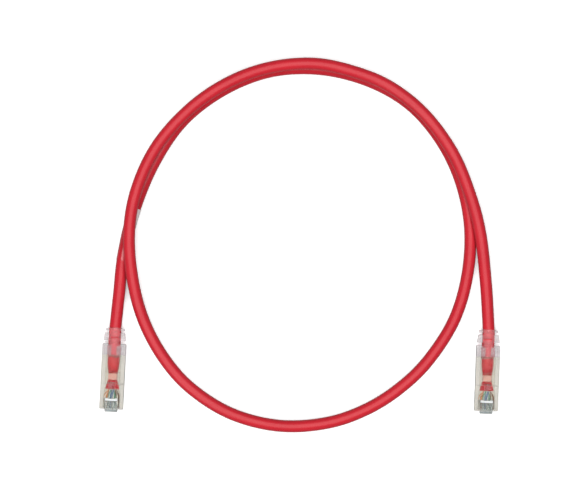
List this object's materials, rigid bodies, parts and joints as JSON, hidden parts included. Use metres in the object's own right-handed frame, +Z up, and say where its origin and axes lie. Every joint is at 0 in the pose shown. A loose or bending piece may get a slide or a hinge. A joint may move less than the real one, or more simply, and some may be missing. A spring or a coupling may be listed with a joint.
{
  "type": "ethernet patch cable",
  "caption": "Round red patch cord lying in a loose loop and a half, with a clear eight-way modular plug, spring latch and clear ribbed boot on each end.",
  "frame": {"origin": "on the surface the cable lies on, midway between the two plugs", "axes": "+X from the left plug to the right plug, +Y from the plugs towards the loop, +Z up from the surface; both plugs lie contact side down with their latches up"},
  "size_m": [0.1998, 0.1864, 0.0129],
  "materials": {
    "jacket": "glossy red flexible PVC",
    "label": "blank white vinyl marker under clear film",
    "clear_plug": "clear moulded polycarbonate",
    "clear_latch": "clear moulded polycarbonate",
    "clear_boot": "soft clear PVC",
    "load_bar": "clear moulded polycarbonate",
    "crimp_bar": "clear moulded polycarbonate",
    "filler": "white polyethylene",
    "copper": "bare stranded copper",
    "contact": "gold-plated phosphor bronze",
    "wire_1": "white polyethylene with an orange stripe",
    "wire_2": "orange polyethylene",
    "wire_3": "white polyethylene with a green stripe",
    "wire_4": "blue polyethylene",
    "wire_5": "white polyethylene with a blue stripe",
    "wire_6": "green polyethylene",
    "wire_7": "white polyethylene with a brown stripe",
    "wire_8": "brown polyethylene"
  },
  "bodies": {
    "root": {"cable_jacket": "jacket", "cable_label": "label", "plug_housing_a": "clear_plug", "boot_a": "clear_boot", "load_bar_a": "load_bar", "crimp_bar_a": "crimp_bar", "jacket_end_a": "jacket", "cross_filler_a": "filler", "copper_cores_a": "copper", "contact_a1": "contact", "wire_a1": "wire_1", "contact_a2": "contact", "wire_a2": "wire_2", "contact_a3": "contact", "wire_a3": "wire_3", "contact_a4": "contact", "wire_a4": "wire_4", "contact_a5": "contact", "wire_a5": "wire_5", "contact_a6": "contact", "wire_a6": "wire_6", "contact_a7": "contact", "wire_a7": "wire_7", "contact_a8": "contact", "wire_a8": "wire_8", "plug_housing_b": "clear_plug", "boot_b": "clear_boot", "load_bar_b": "load_bar", "crimp_bar_b": "crimp_bar", "jacket_end_b": "jacket", "cross_filler_b": "filler", "copper_cores_b": "copper", "contact_b1": "contact", "wire_b1": "wire_1", "contact_b2": "contact", "wire_b2": "wire_2", "contact_b3": "contact", "wire_b3": "wire_3", "contact_b4": "contact", "wire_b4": "wire_4", "contact_b5": "contact", "wire_b5": "wire_5", "contact_b6": "contact", "wire_b6": "wire_6", "contact_b7": "contact", "wire_b7": "wire_7", "contact_b8": "contact", "wire_b8": "wire_8"},
    "latch_a": {"latch_a": "clear_latch"},
    "latch_b": {"latch_b": "clear_latch"}
  },
  "joints": [
    {"name": "latch_a_flex", "type": "hinge", "parent": "root", "child": "latch_a", "pos_m": [-0.09404, -0.0198, 0.00715], "axis": [-0.9986, 0.0523, 0], "range_deg": [0, 10], "stiffness_Nm_per_rad": 0.06},
    {"name": "latch_b_flex", "type": "hinge", "parent": "root", "child": "latch_b", "pos_m": [0.09297, -0.0208, 0.00715], "axis": [-0.9994, 0.0349, 0], "range_deg": [0, 10], "stiffness_Nm_per_rad": 0.06}
  ]
}
